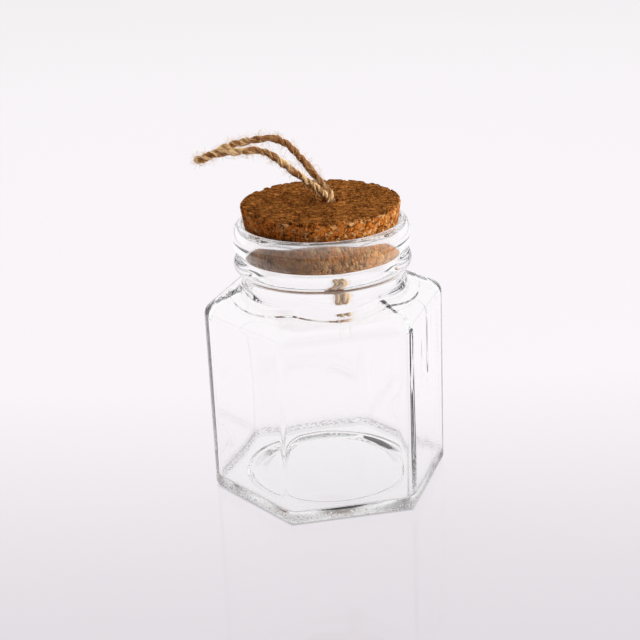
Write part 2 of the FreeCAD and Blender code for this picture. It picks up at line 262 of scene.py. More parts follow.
def add_node(tree, kind, inputs, **settings):
    """New node with these settings and inputs."""
    node = tree.nodes.new(kind)
    for name, setting in settings.items():
        setattr(node, name, setting)
    plug(node, inputs)
    return node


def linked(kind, inputs, **settings):
    """New node in the tree of the sockets that feed it."""
    tree = next(value.id_data for value in inputs.values() if isinstance(value, Socket))
    return add_node(tree, kind, inputs, **settings)


def maths(operation, *values):
    """Output of a Math node."""
    return linked("ShaderNodeMath", dict(enumerate(values)), operation=operation).outputs[0]


def times(first, *others):
    """Product of values."""
    for other in others:
        first = maths("MULTIPLY", first, other)
    return first


def largest(first, *others):
    """Largest of values."""
    for other in others:
        first = maths("MAXIMUM", first, other)
    return first


def between(value, low, high, start=0.0, end=1.0):
    """Smooth step of a value from low to high, given as start to end."""
    inputs = {"Value": value, "From Min": low, "From Max": high, "To Min": start, "To Max": end}
    node = linked("ShaderNodeMapRange", inputs, interpolation_type="SMOOTHSTEP")
    return node.outputs["Result"]


def fading(value, low, high, start=1.0):
    """Smooth step of a value from low to high that falls from start to nothing."""
    return between(value, low, high, start, 0.0)


def noise(place, scale, detail=2.0, rough=0.5):
    """Noise on a place, as a number."""
    inputs = {"Vector": place, "Scale": scale, "Detail": detail, "Roughness": rough}
    return linked("ShaderNodeTexNoise", inputs).outputs[0]


def cells(place, scale, feature="F1"):
    """Voronoi node on a place."""
    return linked("ShaderNodeTexVoronoi", {"Vector": place, "Scale": scale}, feature=feature)


def blend(amount, first, second):
    """Mix of two colours."""
    pair = [tone if isinstance(tone, Socket) else (*tone, 1.0) for tone in (first, second)]
    inputs = {0: amount, 6: pair[0], 7: pair[1]}
    return linked("ShaderNodeMix", inputs, data_type="RGBA").outputs[2]


def shaded(tone, strength):
    """Colour made darker or lighter."""
    return [part * strength for part in tone]


def stretched(place, scale, turn=(0.0, 0.0, 0.0)):
    """Place scaled and turned by a Mapping node."""
    return linked("ShaderNodeMapping", {"Vector": place, "Scale": scale, "Rotation": turn}).outputs[0]


def axes(place):
    """X, Y and Z of a place, or red, green and blue of a colour."""
    return tuple(linked("ShaderNodeSeparateXYZ", {0: place}).outputs)


def along(place, direction):
    """How far a place lies along a direction."""
    return linked("ShaderNodeVectorMath", {0: place, 1: direction}, operation="DOT_PRODUCT").outputs["Value"]


def bump(height, distance, strength=1.0):
    """Normal that a height gives."""
    inputs = {"Strength": strength, "Distance": distance, "Height": height}
    return linked("ShaderNodeBump", inputs).outputs["Normal"]


def attribute(tree, name):
    """Number that the mesh carries under this name, in a material."""
    return add_node(tree, "ShaderNodeAttribute", {}, attribute_name=name).outputs["Fac"]


def mesh_number(tree, name):
    """Number that the mesh carries under this name, in Geometry Nodes."""
    return add_node(tree, "GeometryNodeInputNamedAttribute", {"Name": name}, data_type="FLOAT").outputs[0]


def mix_shaders(amount, first, second):
    """Mix of two shaders."""
    return linked("ShaderNodeMixShader", {0: amount, 1: first, 2: second}).outputs[0]


def object_place(tree):
    """Place on the piece in its own axes."""
    return tree.nodes.new("ShaderNodeTexCoord").outputs["Object"]


def new_group(name, kind, inputs, outputs):
    """Node group with these named sockets, and its nodes for what comes in and goes out."""
    tree = bpy.data.node_groups.new(name, kind)
    for way, sockets in (("INPUT", inputs), ("OUTPUT", outputs)):
        for title, value in sockets.items():
            tree.interface.new_socket(title, in_out=way, socket_type="NodeSocket" + value)
    return tree, tree.nodes.new("NodeGroupInput"), tree.nodes.new("NodeGroupOutput")


def placed(group, inputs):
    """Output of a shader group with these inputs."""
    return linked("ShaderNodeGroup", inputs, node_tree=group).outputs[0]


def six_sided(place):
    """How far a place is from the upright axis, squarely to the jar's nearest side, by a shared group."""
    name = "six_sided"
    group = bpy.data.node_groups.get(name)
    if not group:
        group, start, end = new_group(name, "ShaderNodeTree", {"Place": "Vector"}, {"Distance": "Float"})
        reaches = []
        for side in range(3):
            turn = math.pi / 6 + side * math.pi / 3
            across = along(start.outputs["Place"], (math.cos(turn), math.sin(turn), 0.0))
            reaches.append(maths("ABSOLUTE", across))
        plug(end, {"Distance": largest(*reaches)})
    return placed(group, {"Place": place})


def new_material(name):
    """Material with its tree and its Principled shader."""
    material = bpy.data.materials.new(name)
    material.use_nodes = True
    return material, material.node_tree, material.node_tree.nodes["Principled BSDF"]


def new_object(name, data):
    """Object at the origin of the scene that shows this data."""
    thing = bpy.data.objects.new(name, data)
    bpy.context.scene.collection.objects.link(thing)
    return thing


def evaluated_mesh(thing):
    """Plain mesh that an object gives with its modifiers."""
    depsgraph = bpy.context.evaluated_depsgraph_get()
    return bpy.data.meshes.new_from_object(thing.evaluated_get(depsgraph))


def new_piece(name, verts, faces, material, smooth=True):
    """Mesh object at the origin."""
    mesh = bpy.data.meshes.new(name)
    mesh.from_pydata(verts, [], faces)
    mesh.materials.append(material)
    mesh.polygons.foreach_set("use_smooth", [smooth] * len(mesh.polygons))
    mesh.validate()
    return new_object(name, mesh)


def add_numbers(piece, name, values):
    """Store one number for each vertex."""
    data = piece.data.attributes.new(name, "FLOAT", "POINT")
    data.data.foreach_set("value", np.asarray(values, dtype=np.float32))


def finish_nodes(end, geometry, material):
    """Close the tree with Realize Instances and Set Material."""
    realize = linked("GeometryNodeRealizeInstances", {0: geometry})
    paint = linked("GeometryNodeSetMaterial", {"Geometry": realize.outputs[0], "Material": material})
    plug(end, {0: paint.outputs[0]})


def bake_nodes(piece, tree, values):
    """Run the tree on a piece with these input values and keep the result as its plain mesh."""
    modifier = piece.modifiers.new(tree.name, "NODES")
    modifier.node_group = tree
    sockets = {item.name: item.identifier for item in tree.interface.items_tree if item.in_out == "INPUT"}
    for name, value in values.items():
        modifier[sockets[name]] = value
    baked = evaluated_mesh(piece)
    piece.modifiers.remove(modifier)
    piece.data = baked
    baked.name = piece.name


def run_lengths(line):
    """Length along a row of points up to each of them."""
    return np.concatenate([[0], np.cumsum(np.linalg.norm(np.diff(line, axis=0), axis=1))])


def rounded_hexagon(angle, apothem, corner):
    """Distance from the axis to a hexagon with rounded corners, two of which lie on the X axis."""
    lean = abs(angle % (math.pi / 3) - math.pi / 6)
    straight = math.atan((apothem - corner) * math.tan(math.pi / 6) / apothem)
    if lean <= straight:
        return apothem / math.cos(lean)
    centre = (apothem - corner) / math.cos(math.pi / 6)
    off = math.pi / 6 - lean
    return centre * math.cos(off) + math.sqrt(corner ** 2 - (centre * math.sin(off)) ** 2)


def rounded_profile(corners):
    """Profile through corners given as place, rounding radius, arc steps and steps of the run before."""
    places = [Vector(corner[0]) for corner in corners]
    line = [places[0]]
    for index in range(1, len(corners)):
        radius, arc_steps, run_steps = corners[index][1:]
        corner = places[index]
        arc = [corner]
        if radius:
            back = (places[index - 1] - corner).normalized()
            ahead = (places[index + 1] - corner).normalized()
            half = back.angle(ahead) / 2
            middle = corner + (back + ahead).normalized() * (radius / math.sin(half))
            first = corner + back * (radius / math.tan(half)) - middle
            last = corner + ahead * (radius / math.tan(half)) - middle
            arc = [middle + first.slerp(last, step / arc_steps) * radius for step in range(arc_steps + 1)]
        start = line[-1]
        line += [start.lerp(arc[0], step / run_steps) for step in range(1, run_steps)]
        line += arc
    return line


def standing_arc(radius, low, high, bulge, count):
    """Points on an arc that stands out from a cylinder between two heights."""
    height = high - low
    curve = (height ** 2 / 4 + bulge ** 2) / (2 * bulge)
    reach = math.asin(height / 2 / curve)
    turns = np.linspace(-reach, reach, count)
    out = radius + bulge - curve + curve * np.cos(turns)
    return np.stack([out, (low + high) / 2 + curve * np.sin(turns)], 1)


def neck_profile(jar):
    """Profile up the bead and lip, over the crest and down the bore, with melted-looking corners."""
    spacing = 0.00004
    softness = 0.00026
    kept_step = 8
    outside_foot = jar.bead_foot - 0.0009
    inside_foot = jar.bead_foot - 0.0002
    top = GLASS_BOX[1].z
    outline = np.concatenate([
        [(jar.neck, outside_foot)],
        standing_arc(jar.neck, jar.bead_foot, jar.bead_top, jar.bead_bulge, 60),
        standing_arc(jar.neck, jar.bead_top, top, jar.lip_bulge, 70),
        [(jar.bore + jar.flare, top), (jar.bore, jar.flare_foot), (jar.bore, inside_foot)],
    ])
    lengths = run_lengths(outline)
    even = np.arange(0, lengths[-1], spacing)
    dense = np.stack([np.interp(even, lengths, outline[:, axis]) for axis in (0, 1)], 1)
    margin = int(4 * softness / spacing)
    head = 2 * dense[0] - dense[margin:0:-1]
    tail = 2 * dense[-1] - dense[-2:-margin - 2:-1]
    padded = np.concatenate([head, dense, tail])
    kernel = np.exp(-0.5 * (np.arange(-margin, margin + 1) * spacing / softness) ** 2)
    kernel /= kernel.sum()
    soft = np.stack([np.convolve(padded[:, axis], kernel, "valid") for axis in (0, 1)], 1)
    return [Vector(point) for point in soft[::kept_step]]


def column_angles():
    """Directions round the jar, closer together at its six corners."""
    sector = 60.0
    corner_half = 7.0
    near = np.linspace(-corner_half, corner_half, 25)[:-1]
    far = np.linspace(corner_half, sector - corner_half, 35)[:-1]
    turns = np.concatenate([near, far])
    return np.radians(np.concatenate([turns + sector * side for side in range(6)]))


def inside_ripple(angle, height, jar):
    """Unevenness of the inside wall: upright streaks high on the right-front side, broad waves all over."""
    streak_middle = 0.040
    streak_half = 0.012
    wave_share = 0.3
    high = max(0.0, 1 - ((height - streak_middle) / streak_half) ** 2)
    right_front = max(0.0, math.cos(angle + math.pi / 6)) ** 8
    streak = math.sin(21 * angle + 0.6) + 0.8 * math.sin(33 * angle + 2.1)
    wave = math.sin(5 * angle + 90 * height) + math.sin(11 * angle - 150 * height + 1.7)
    return jar.ripple * (high * right_front * streak + wave_share * wave)


def base_corners(jar):
    """Corners of the hollow under the base, from its middle out, with a low ridge inside its edge."""
    dome = (0.0158, 0.0010)
    dip = (jar.punt - 0.0018, 0.0004)
    ridge = (jar.punt - 0.0011, 0.0007)
    return [
        ((0.0, jar.punt_depth), 0, 0, 0),
        (dome, 0.0030, 4, 7),
        (dip, 0.0004, 4, 4),
        (ridge, 0.0004, 4, 2),
        ((jar.punt, 0.0), 0.0005, 4, 2),
    ]


def outside_corners(angle, jar, neck_foot):
    """Corners of the outside, from the heel up the side and over the slope and the collar to the neck."""
    side = rounded_hexagon(angle, jar.across_flats / 2, jar.corner)
    top = rounded_hexagon(angle, jar.slope_reach, jar.slope_corner)
    fall = jar.rise / (side - top)
    collar_foot = jar.collar + jar.collar_rise
    collar_edge = 0.0003

    def slope(radius):
        """Height of the slope at this radius."""
        return jar.shoulder + fall * (side - radius)

    return [
        ((side, 0.0), jar.heel, 9, 6),
        ((side, jar.shoulder), jar.shoulder_edge, 12, 22),
        ((collar_foot, slope(collar_foot)), collar_edge, 4, 8),
        ((jar.collar, slope(jar.collar) + jar.collar_rise), collar_edge, 4, 1),
        ((jar.neck, slope(jar.neck) + jar.collar_rise), jar.neck_root, 8, 3),
        (tuple(neck_foot), 0, 0, 2),
    ]


def cavity_line(angle, jar, bore_foot):
    """Profile of the inside, from the bore down over the ceiling and the wall to the floor's middle."""
    crease = 0.0012
    bore_edge = 0.0014
    ceiling_edge = 0.0030
    ceiling_reach = (jar.bore - 0.0005) * math.cos(math.pi / 6)
    ceiling_top = jar.shoulder + jar.rise - 0.0020
    inner = rounded_hexagon(angle, jar.across_flats / 2 - jar.wall, jar.inner_corner)
    inner_top = rounded_hexagon(angle, ceiling_reach, crease)
    bore_root = jar.ceiling + (ceiling_top - jar.ceiling) * (inner - jar.bore) / (inner - inner_top)
    line = rounded_profile([
        (tuple(bore_foot), 0, 0, 0),
        ((jar.bore, bore_root), bore_edge, 8, 4),
        ((inner, jar.ceiling), ceiling_edge, 10, 10),
        ((inner, jar.floor), jar.inner_heel, 12, 24),
        ((0.0, jar.floor), 0, 0, 14),
    ])[1:]
    for point in line:
        if point.y < ceiling_top and point.x > jar.bore:
            point.x += inside_ripple(angle, point.y, jar)
    return line


def make_glass(jar):
    """Hollow jar in one closed skin: base, sides, shoulder, neck, mouth, bore and inside."""
    neck_line = neck_profile(jar)
    columns = []
    for angle in column_angles():
        line = rounded_profile(base_corners(jar) + outside_corners(angle, jar, neck_line[0]))
        line += neck_line[1:]
        line += cavity_line(angle, jar, neck_line[-1])
        columns.append([(point.x * math.cos(angle), point.x * math.sin(angle), point.y) for point in line])
    rows = len(columns[0]) - 2
    count = len(columns)
    verts = [columns[0][0]]
    for column in columns:
        verts += column[1:-1]
    verts.append(columns[0][-1])
    last = len(verts) - 1
    faces = []
    for index in range(count):
        here = 1 + index * rows
        there = 1 + (index + 1) % count * rows
        faces.append((0, there, here))
        faces += [(here + row, there + row, there + row + 1, here + row + 1) for row in range(rows - 1)]
        faces.append((here + rows - 1, there + rows - 1, last))
    return new_piece("clear_jar", verts, faces, glass_material(jar))


def glass_material(jar):
    """Clear glass, a little uneven, with a frosted and stippled heel."""
    material, tree, shader = new_material("clear_glass")
    # The plain roughness counts where the nodes that follow can't be read
    plug(shader, {"Base Color": (*jar.tint, 1.0), "Roughness": 0.0, "IOR": 1.5, "Transmission Weight": 1.0})
    place = object_place(tree)
    height = axes(place)[2]
    limits = [jar.across_flats / 2 - depth for depth in HEEL_DEPTH]
    outer = between(six_sided(place), *limits)
    dots = fading(cells(place, 1000.0).outputs["Distance"], 0.20, 0.42)
    dotted = times(fading(height, *HEEL_DOTS), outer, dots)
    sway = times(noise(stretched(place, (1.0, 1.0, 0.35)), 90.0, 1.0), jar.sway)
    relief = maths("ADD", times(dotted, jar.stipple), sway)
    frosted = times(fading(height, *HEEL_FROST, jar.frost), outer)
    undotted = maths("SUBTRACT", 1.0, dotted)
    plug(shader, {"Roughness": times(frosted, undotted), "Normal": bump(relief, 1.0)})
    path = tree.nodes.new("ShaderNodeLightPath").outputs
    clear = tree.nodes.new("ShaderNodeBsdfTransparent")
    mixed = mix_shaders(path["Is Shadow Ray"], shader.outputs[0], clear.outputs[0])
    plug(tree.nodes["Material Output"], {"Surface": mixed})
    return material


def cork_rows(cork):
    """Rings round the cork as centre share, radius, height, top mark and rim mark; a closed round trip."""
    foot = CORK_BOX[0].z
    top = CORK_BOX[1].z
    edge = cork.edge
    lean = edge * cork.taper
    wide = CORK_BOX[1].x + lean
    narrow = wide - (top - foot) * cork.taper
    ring = cork.hole + cork.hole_rim
    chipped_reach = 0.0008

    def plain(t):
        """Rim mark of a run with no chips."""
        return 0.0

    def near_rim(distance):
        """Rim mark at a distance from the chipped rim."""
        return math.exp(-(distance / chipped_reach) ** 2)

    # Each run as its start, its steps, its top mark, and its rim mark at a share of the way
    runs = (
        ((1, cork.hole, foot + cork.hole_rim), 26, 0.0, plain),
        ((1, cork.hole, top - cork.hole_rim), 3, 0.6, plain),
        ((1, ring, top), 60, 1.0, lambda t: near_rim((1 - t) * (wide - ring))),
        ((0, wide - edge, top), 4, 0.5, lambda t: 1.0),
        ((0, wide - lean, top - edge), 46, 0.0, lambda t: near_rim(t * (top - foot))),
        ((0, narrow + lean, foot + edge), 3, 0.0, plain),
        ((0, narrow - edge, foot), 36, 0.0, plain),
        ((1, ring, foot), 3, 0.0, plain),
    )
    rows = []
    for index, (start, steps, mark, rim) in enumerate(runs):
        end = runs[(index + 1) % len(runs)][0]
        for step in range(steps):
            t = step / steps
            values = [a + (b - a) * t for a, b in zip(start, end)]
            rows.append((*values, mark, rim(t)))
    return rows


def make_cork(cork):
    """Tapered stopper with pits, open joints and a chipped rim."""
    columns = 400
    rows = cork_rows(cork)
    turns = [2 * math.pi * step / columns for step in range(columns)]
    verts = []
    for centre, radius, height, *_ in rows:
        x, y = [part * centre for part in HOLE_CENTRE]
        verts += [(x + radius * math.cos(turn), y + radius * math.sin(turn), height) for turn in turns]
    faces = []
    for row in range(len(rows)):
        here = row * columns
        there = (row + 1) % len(rows) * columns
        for step in range(columns):
            side = (step + 1) % columns
            faces.append((here + step, there + step, there + side, here + side))
    material = cork_material(cork)
    piece = new_piece("pressed_cork", verts, faces, material)
    for name, column in (("top_mark", 3), ("rim_mark", 4)):
        add_numbers(piece, name, np.repeat([row[column] for row in rows], columns))
    bake_nodes(piece, cork_relief(), {"Granule": cork.granule, "Depth": cork.pit_depth, "Cork": material})
    return piece


def cork_relief():
    """Tree that sinks pits, open joints and chips into the cork and marks how deep they are."""
    inputs = {**GEOMETRY, "Granule": "Float", "Depth": "Float", "Cork": "Material"}
    tree, start, end = new_group("cork_relief", "GeometryNodeTree", inputs, GEOMETRY)
    place = tree.nodes.new("GeometryNodeInputPosition").outputs[0]
    normal = tree.nodes.new("GeometryNodeInputNormal").outputs[0]
    scale = maths("DIVIDE", 1.0, start.outputs["Granule"])
    joint = cells(place, scale, "DISTANCE_TO_EDGE").outputs["Distance"]
    open_here = between(noise(place, 210.0, 1.0), 0.50, 0.66)
    joints = times(fading(joint, 0.02, 0.16), open_here)
    grain = cells(place, times(scale, 1.9))
    picked = between(axes(grain.outputs["Color"])[0], 0.72, 0.78)
    pits = times(fading(grain.outputs["Distance"], 0.15, 0.42), picked)
    nick = between(noise(place, 520.0), 0.46, 0.64)
    chips = times(mesh_number(tree, "rim_mark"), nick, 2.4)
    hollow = largest(times(joints, 0.8), pits)
    deep = largest(hollow, chips)
    grit = times(noise(place, 900.0), 0.22)
    sink = times(maths("ADD", deep, grit), start.outputs["Depth"])
    inward = {0: normal, "Scale": times(sink, -1.0)}
    offset = linked("ShaderNodeVectorMath", inward, operation="SCALE")
    marked = {
        "Geometry": start.outputs["Geometry"], "Name": "pit_mark",
        "Value": largest(hollow, times(chips, 0.2))}
    mark = linked("GeometryNodeStoreNamedAttribute", marked, data_type="FLOAT", domain="POINT")
    move = linked("GeometryNodeSetPosition", {"Geometry": mark.outputs[0], "Offset": offset.outputs[0]})
    finish_nodes(end, move.outputs[0], start.outputs["Cork"])
    return tree


def cork_material(cork):
    """Pressed cork: granules of different browns, dark joints and pits, a duller sanded top, and a sunk part
    painted paler as a painted reflection.
    """
    material, tree, shader = new_material("pressed_cork")
    place = object_place(tree)
    scale = 1.0 / cork.granule
    swirl = noise(place, 420.0).node.outputs["Color"]
    swirl_reach = (0.0009, 0.0009, 0.0009)
    swirled = {0: swirl, 1: swirl_reach, 2: place}
    spot = linked("ShaderNodeVectorMath", swirled, operation="MULTIPLY_ADD").outputs[0]
    red, green, _ = axes(cells(spot, scale).outputs["Color"])
    body = blend(between(red, 0.45, 1.0), cork.side, cork.pale)
    body = blend(between(green, 0.55, 1.0, 0.0, 0.75), body, shaded(cork.side, 0.42))
    fleck = between(noise(spot, 760.0, 3.0, 0.7), 0.54, 0.62)
    # Painted reflection: the sunk part, seen through the glass, is painted paler, with fewer dark flecks and
    # open joints
    waver = times(noise(place, 160.0, 1.0), 0.0040)
    sunk_painted_veil = fading(maths("ADD", axes(place)[2], waver), *CORK_SUNK_PAINTED_VEIL)
    flecked = times(fleck, between(sunk_painted_veil, 0.0, 1.0, 0.85, 0.40))
    body = blend(flecked, body, cork.dark)
    body = blend(times(sunk_painted_veil, 0.40), body, cork.pale)
    stroke = noise(spot, 1150.0, 3.0, 0.75)
    sanded = blend(between(stroke, 0.36, 0.64), shaded(cork.top, 0.30), cork.top)
    lit = between(noise(spot, 820.0, 2.0, 0.6), 0.54, 0.70, 0.0, 0.55)
    sanded = blend(lit, sanded, shaded(cork.top, 1.9))
    sanded = blend(times(fleck, 0.6), sanded, cork.dark)
    body = blend(attribute(tree, "top_mark"), body, sanded)
    joint = fading(cells(spot, scale, "DISTANCE_TO_EDGE").outputs["Distance"], 0.0, 0.14)
    open_here = between(noise(place, 340.0, 1.0), 0.40, 0.58)
    open_here = times(open_here, between(sunk_painted_veil, 0.0, 1.0, 1.0, 0.25))
    dark = largest(times(joint, open_here), attribute(tree, "pit_mark"))
    tone = blend(times(dark, 0.85), body, cork.dark)
    fine = times(noise(place, 2200.0, 3.0, 0.6), 0.00012)
    height = maths("SUBTRACT", fine, times(joint, 0.0001))
    plug(shader, {
        "Base Color": tone, "Roughness": 0.85, "Specular IOR Level": 0.0,
        "Normal": bump(height, 1.0, 0.8)})
    return material


def smooth_line(route):
    """Points along the smooth line that a route's control points give."""
    curve = bpy.data.curves.new("twine_line", "CURVE")
    curve.dimensions = "3D"
    curve.resolution_u = 16
    spline = curve.splines.new("NURBS")
    spline.points.add(len(route) - 1)
    for point, place in zip(spline.points, route):
        point.co = (*place, 1.0)
    spline.order_u = 3
    spline.use_endpoint_u = True
    holder = new_object("twine_line", curve)
    mesh = evaluated_mesh(holder)
    points = np.array([vertex.co for vertex in mesh.vertices])
    bpy.data.objects.remove(holder)
    bpy.data.curves.remove(curve)
    bpy.data.meshes.remove(mesh)
    return points


def cross_directions(line):
    """Two directions across the line at each point, turned as little as possible on the way."""
    ahead = np.gradient(line, axis=0)
    ahead /= np.linalg.norm(ahead, axis=1)[:, None]
    off_line = (0.37, 0.81, 0.45)
    side = np.cross(ahead[0], off_line)
    sides = []
    for direction in ahead:
        side = side - direction * np.dot(side, direction)
        side = side / np.linalg.norm(side)
        sides.append(side)
    sides = np.array(sides)
    return sides, np.cross(ahead, sides)


def wave_sum(waves, lengths, ply):
    """Sum of waves along a ply."""
    return sum(height * np.sin(lengths * rate + shift * ply) for height, rate, shift in waves)


def make_twine_piece(name, lines, twine, material, pitch, free_end=0.0):
    """Plies along each line, one full twist in each pitch; a cut end frays over the length free_end."""
    plies = 2
    sides = 16
    ply_radius = twine.diameter * 0.34
    offset = twine.diameter * 0.14
    splay = 1.2
    thinning = 0.10
    lump_height = 0.06
    lump_rate = 2900
    lumps_round = 5
    verts, faces, wraps, depths, bare = [], [], [], [], []
    for line in lines:
        count = len(line)
        lengths = run_lengths(line)
        wrap = lengths * CENTIMETRES_IN_METRE
        across, over = cross_directions(line)
        fray = np.zeros(count)
        if free_end:
            fray = np.clip((lengths - lengths[-1] + free_end) / free_end, 0, 1) ** 2
        reach = offset * (1 + splay * fray)
        thinned = 1 - thinning * fray
        for ply in range(plies):
            base = len(verts)
            phase = 2 * math.pi * ply / plies
            wander = wave_sum(TWIST_WAVES, lengths, ply)
            turn = 2 * math.pi * lengths / pitch + phase + wander * twine.pitch / pitch
            uneven = 1 + wave_sum(THICKNESS_WAVES, lengths, ply)
            out = across * np.cos(turn)[:, None] + over * np.sin(turn)[:, None]
            ply_line = line + out * reach[:, None]
            for index in range(count):
                for step in range(sides):
                    angle = turn[index] + math.pi + 2 * math.pi * step / sides
                    lump = 1 + lump_height * math.sin(lumps_round * step + lengths[index] * lump_rate + ply)
                    radius = ply_radius * uneven[index] * lump * thinned[index]
                    aim = across[index] * math.cos(angle) + over[index] * math.sin(angle)
                    spot = ply_line[index] + radius * aim
                    verts.append(tuple(spot))
                    depths.append(np.linalg.norm(spot - line[index]) / (twine.diameter / 2))
                    bare.append(1.0 if spot[2] > BARE_ABOVE or spot[2] < BARE_BELOW else 0.0)
            for index in range(count - 1):
                here = base + index * sides
                low, high = wrap[index:index + 2]
                for step in range(sides):
                    side = (step + 1) % sides
                    faces.append((here + step, here + side, here + sides + side, here + sides + step))
                    left = step / sides
                    right = (step + 1) / sides
                    wraps += [(low, left), (low, right), (high, right), (high, left)]
            for index, order in ((0, -1), (count - 1, 1)):
                first = base + index * sides
                faces.append(tuple(range(first, first + sides))[::order])
                wraps += [(wrap[index], 0.5)] * sides
    piece = new_piece(name, verts, faces, material)
    layer = piece.data.uv_layers.new(name="wrap")
    layer.data.foreach_set("uv", np.array(wraps, dtype=np.float32).ravel())
    add_numbers(piece, "outward", depths)
    add_numbers(piece, "bare", bare)
    return piece


def jute_tint():
    """Group that gives jute its uneven colour from a place, and painted shade in the grooves between the
    plies from how far out a fibre lies.
    """
    inputs = {"Place": "Vector", "Outward": "Float", "Pale": "Color", "Deep": "Color"}
    tree, start, end = new_group("jute_tint", "ShaderNodeTree", inputs, {"Color": "Color"})
    place, outward, pale, deep = [start.outputs[name] for name in inputs]
    streak = noise(place, 1.0, 3.0, 0.6)
    middle = blend(0.4, deep, pale)
    tone = blend(between(streak, 0.36, 0.60), middle, pale)
    # Painted shade: fibres that lie deep between the plies take the deep colour
    tone = blend(fading(outward, 0.45, 0.92, 0.9), tone, deep)
    plug(end, {"Color": tone})
    return tree


def jute_material(name, group, pale, deep, follow_wrap, stain=None):
    """Jute, with its fibres laid along the plies where the piece has a wrap, and there stained if asked."""
    material, tree, shader = new_material(name)
    outward = 1.0
    if follow_wrap:
        wrap = add_node(tree, "ShaderNodeUVMap", {}, uv_map="wrap").outputs[0]
        place = stretched(wrap, (7.0, 11.0, 1.0), (0.0, 0.0, 0.12))
        outward = attribute(tree, "outward")
        fibre = noise(stretched(wrap, (9.0, 26.0, 1.0), (0.0, 0.0, 0.2)), 1.0)
        plug(shader, {"Normal": bump(fibre, 0.00022)})
    else:
        place = stretched(object_place(tree), (500.0, 500.0, 500.0))
    tone = placed(group, {"Place": place, "Outward": outward, "Pale": (*pale, 1.0), "Deep": (*deep, 1.0)})
    if stain:
        way = axes(wrap)[0]
        begun = between(way, *STAIN_BEGINS, 0.0, 0.70)
        near_cork = times(begun, fading(way, *STAIN_ENDS))
        blotch = noise(stretched(wrap, (3.2, 2.6, 1.0)), 1.0)
        patch = between(blotch, 0.47, 0.56, 0.0, 0.85)
        tone = blend(largest(patch, near_cork), tone, stain)
    plug(shader, {"Base Color": tone, "Roughness": 0.75, "Specular IOR Level": 0.05})
    return material


def knot_route():
    """Control points of the two turns that are drawn tight below the cork."""
    per_turn = 12
    turns = 2.1
    low = 0.05735
    high = 0.05940
    reach = 0.00160
    wave = 0.00010
    first_turn = 0.8
    points = []
    steps = int(per_turn * turns)
    for step in range(steps + 1):
        turn = 2 * math.pi * step / per_turn + first_turn
        x = HOLE_CENTRE[0] + reach * math.cos(turn)
        y = HOLE_CENTRE[1] + reach * math.sin(turn)
        points.append((x, y, low + (high - low) * step / steps + wave * math.sin(turn)))
    return points


def fuzz_nodes():
    """Tree that grows loose hairs out of the twine where it is bare."""
    inputs = {
        **GEOMETRY, "Density": "Float", "Hair": "Float", "Radius": "Float", "Seed": "Int",
        "Jute": "Material"}
    tree, start, end = new_group("twine_fuzz", "GeometryNodeTree", inputs, GEOMETRY)
    given = start.outputs
    spread = linked("GeometryNodeDistributePointsOnFaces", {
        "Mesh": given["Geometry"], "Selection": maths("GREATER_THAN", mesh_number(tree, "bare"), 0.5),
        "Density": given["Density"], "Seed": given["Seed"]})
    # One hair of unit size: a low arch with a three-sided section
    arch = add_node(tree, "GeometryNodeCurveQuadraticBezier", {
        "Resolution": 4, "Start": (0.0, 0.0, -0.05), "Middle": (0.45, 0.0, 0.55), "End": (1.0, 0.0, 0.45)})
    ring = linked("GeometryNodeCurvePrimitiveCircle", {
        "Resolution": 3, "Radius": maths("DIVIDE", given["Radius"], given["Hair"])})
    hair = linked("GeometryNodeCurveToMesh", {
        "Curve": arch.outputs[0], "Profile Curve": ring.outputs[0], "Fill Caps": True})
    # Each hair leans a little, faces any way and has its own length
    spin = linked("FunctionNodeRandomValue", {
        0: (-0.4, -0.7, 0.0), 1: (0.4, 0.5, 2 * math.pi), "Seed": given["Seed"]}, data_type="FLOAT_VECTOR")
    turn = linked("FunctionNodeRotateRotation", {
        0: spread.outputs["Rotation"], 1: spin.outputs[0]}, rotation_space="LOCAL")
    size = linked("FunctionNodeRandomValue", {2: 0.35, 3: 1.25, "Seed": given["Seed"]}, data_type="FLOAT")
    hairs = linked("GeometryNodeInstanceOnPoints", {
        "Points": spread.outputs["Points"], "Instance": hair.outputs[0], "Rotation": turn.outputs[0],
        "Scale": times(size.outputs[1], given["Hair"])})
    finish_nodes(end, hairs.outputs[0], given["Jute"])
    return tree


class JARLOOKS_OT_stage(bpy.types.Operator):
    """Pale floor, soft light and the camera"""
    bl_idname = "jarlooks.stage"
    bl_label = "Set the stage"

    def execute(self, context):
        stage = context.scene.jar_stage
        context.scene.view_settings.view_transform = "Standard"
        context.scene.cycles.max_bounces = 30
        context.scene.cycles.transmission_bounces = 30
        context.scene.cycles.glossy_bounces = 14
        add_camera(context.scene, stage)
        add_floor(stage)
        add_light(context.scene, stage)
        return {"FINISHED"}


def add_camera(scene, stage):
    """Camera that looks at the jar from in front and above, turned a little to one side."""
    turned = Matrix.Rotation(CAMERA_AZIMUTH, 4, "Z")
    turned @= Matrix.Rotation(math.pi / 2 - CAMERA_ELEVATION, 4, "X")
    turned @= Matrix.Rotation(CAMERA_ROLL, 4, "Z")
    eye = Vector(CAMERA_AIM) + turned.col[2].xyz * CAMERA_DISTANCE
    data = bpy.data.cameras.new("view")
    data.sensor_width = 36.0
    data.lens = stage.lens
    data.clip_start = 0.01
    camera = new_object("view", data)
    camera.matrix_world = Matrix.Translation(eye) @ turned
    scene.camera = camera


